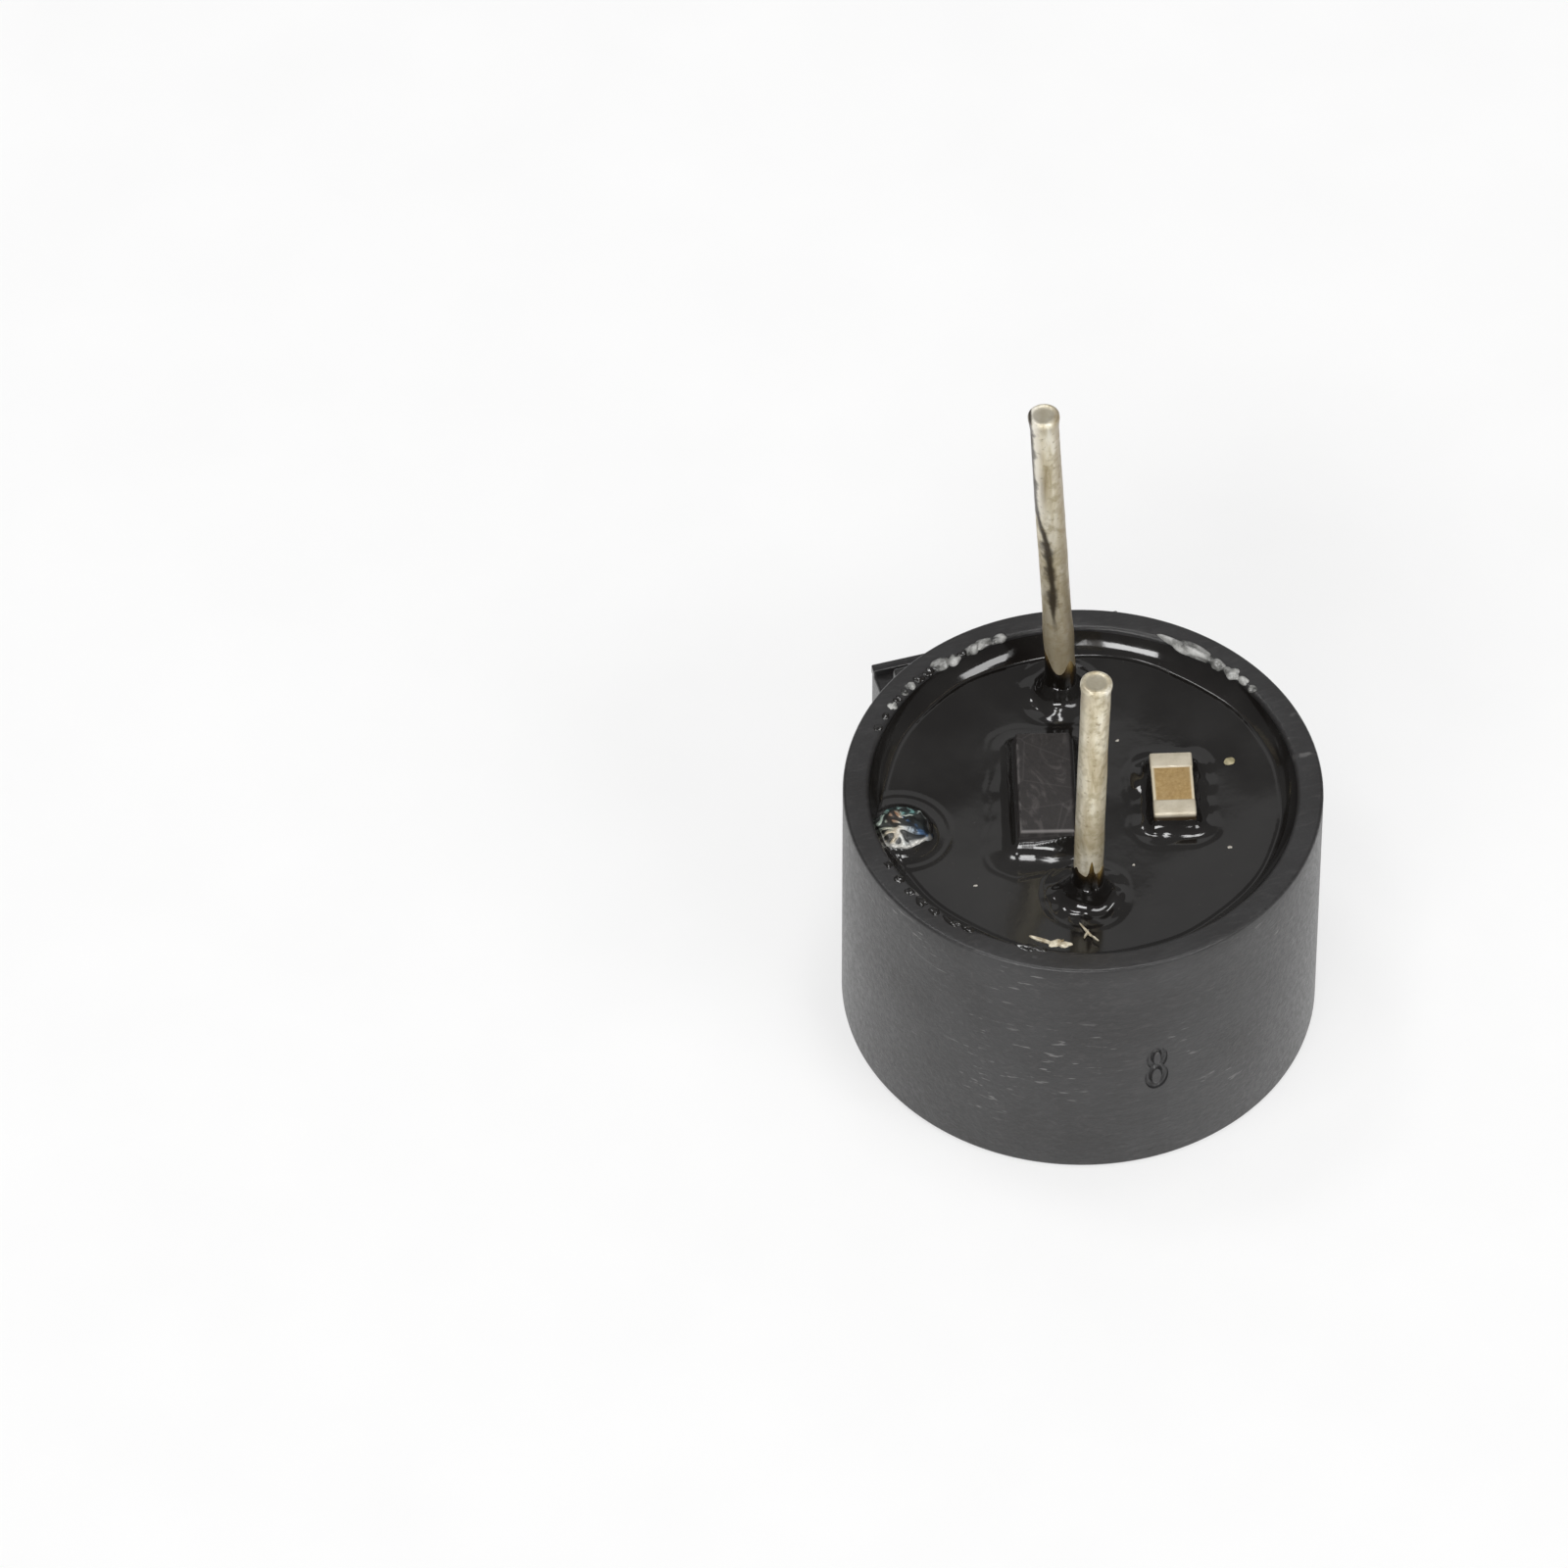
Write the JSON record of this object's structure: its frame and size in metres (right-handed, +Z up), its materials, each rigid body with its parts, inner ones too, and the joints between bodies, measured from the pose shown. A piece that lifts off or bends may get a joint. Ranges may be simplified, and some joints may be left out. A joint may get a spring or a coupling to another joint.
{
  "type": "magnetic buzzer",
  "caption": "Round black buzzer with a rectangular side nozzle and pins of unequal length through a potted end; sounds a tone from a direct-current supply.",
  "frame": {"origin": "on the housing's axis, at the closed face that it rests on", "axes": "+Z up the housing's axis towards the pins' tips, +Y along the nozzle"},
  "size_m": [0.009, 0.0101, 0.013],
  "materials": {
    "housing_plastic": "matte moulded black",
    "spring_steel": "rolled",
    "soft_iron": "stamped and plated",
    "brass_ring": "turned",
    "ferrite": "sintered",
    "copper_wire": "enamelled",
    "board_laminate": "glass-filled laminate",
    "tinned_pin": "solder-dipped, warm and uneven",
    "solder": "reflowed",
    "mould_compound": "matte dark grey",
    "tinned_lead": "tin plated",
    "capacitor_ceramic": "fired tan",
    "terminal_plating": "satin tin",
    "potting_resin": "glossy cast black"
  },
  "bodies": {
    "root": {"housing": "housing_plastic", "diaphragm": "spring_steel", "armature_disc": "soft_iron", "support_ring": "brass_ring", "ring_magnet": "ferrite", "yoke_plate": "soft_iron", "pole_core": "soft_iron", "coil": "copper_wire", "coil_leads": "copper_wire", "circuit_board": "board_laminate", "pin_positive": "tinned_pin", "pin_negative": "tinned_pin", "pin_solder_joints": "solder", "transistor_body": "mould_compound", "transistor_leads": "tinned_lead", "capacitor_body": "capacitor_ceramic", "capacitor_terminals": "terminal_plating", "component_solder": "solder", "coil_lead_joints": "solder", "potting": "potting_resin"}
  },
  "joints": []
}
